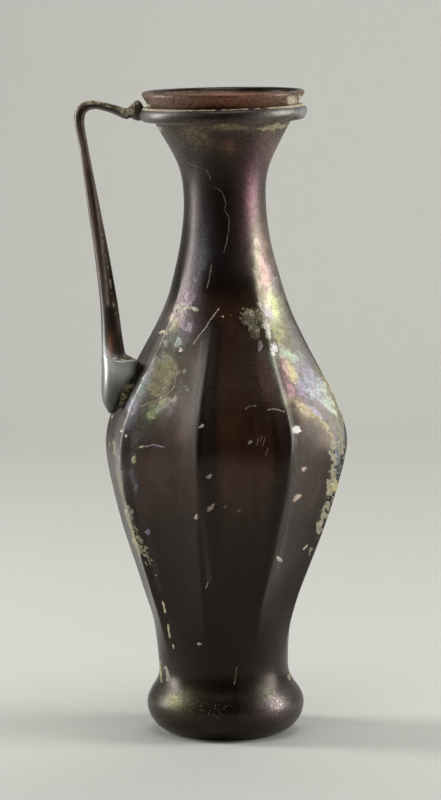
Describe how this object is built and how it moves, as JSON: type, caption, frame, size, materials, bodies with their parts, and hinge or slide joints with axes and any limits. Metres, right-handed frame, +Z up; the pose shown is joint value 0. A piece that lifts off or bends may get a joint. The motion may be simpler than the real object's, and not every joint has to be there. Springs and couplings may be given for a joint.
{
  "type": "glass pitcher",
  "caption": "Slender hand-blown glass pitcher with a ribbed body, bulging foot, waisted neck, flared mouth with a wound collar, and a drawn rod handle from collar to shoulder.",
  "frame": {"origin": "on the surface the pitcher stands on, under the centre of the rectangle that it covers; the vessel's own axis stands 5.1 mm toward +X of it", "axes": "+Z up along the vessel; the handle is toward -X; the side in the picture faces -Y"},
  "size_m": [0.0924, 0.083, 0.2204],
  "materials": {
    "glass_body": "weathered dark purple-brown glass, satin to glossy, with iridescent and crusted patches"
  },
  "bodies": {
    "root": {"pitcher": "glass_body"}
  },
  "joints": []
}
